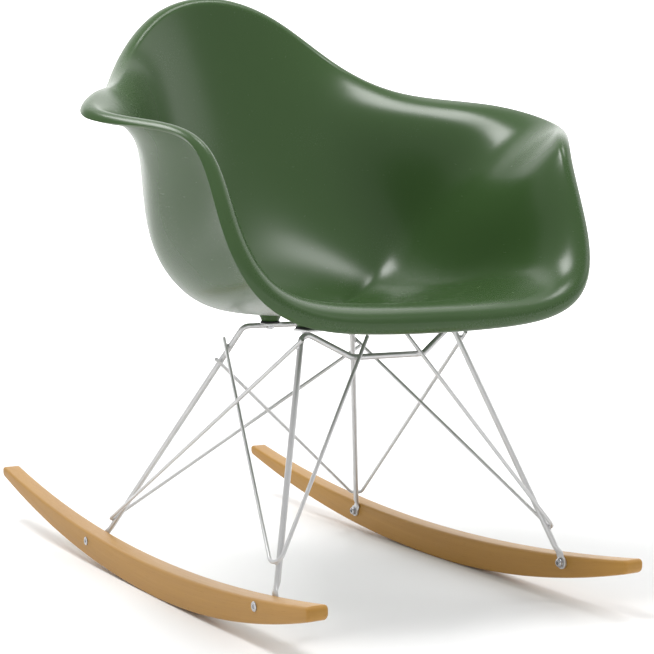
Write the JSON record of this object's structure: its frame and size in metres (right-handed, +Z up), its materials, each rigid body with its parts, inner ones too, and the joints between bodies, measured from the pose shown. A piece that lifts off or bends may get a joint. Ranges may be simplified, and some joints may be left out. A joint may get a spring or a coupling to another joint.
{
  "type": "rocking chair",
  "caption": "Moulded bucket armchair with a rolled edge, on a bent-rod and wire base that stands on curved wooden rockers.",
  "frame": {"origin": "on the floor, under the middle of the bounding box: midway between the rockers and midway along their length", "axes": "+Z up; the chair faces -Y, the rockers run along Y, +X is the sitter's left"},
  "size_m": [0.5984, 0.81, 0.6807],
  "materials": {
    "seat": "glossy moulded plastic, deep green",
    "rod": "satin bright metal",
    "wood": "satin-lacquered honey-coloured hardwood",
    "fastener": "bright zinc-plated steel",
    "rubber": "matt black rubber",
    "insert": "plain brass"
  },
  "bodies": {
    "root": {"seat_shell": "seat", "front_frame_rod": "rod", "rear_frame_rod": "rod", "brace_front_left": "rod", "brace_front_right": "rod", "brace_rear_left": "rod", "brace_rear_right": "rod", "rocker_left": "wood", "rocker_right": "wood", "rocker_screws_front": "fastener", "rocker_screws_rear": "fastener", "rocker_washers_front": "fastener", "rocker_washers_rear": "fastener", "barrel_nuts_front": "fastener", "barrel_nuts_rear": "fastener", "mount_tabs": "rod", "rubber_mounts": "rubber", "mount_inserts": "insert", "mount_washers": "fastener", "mount_screws": "fastener"}
  },
  "joints": []
}
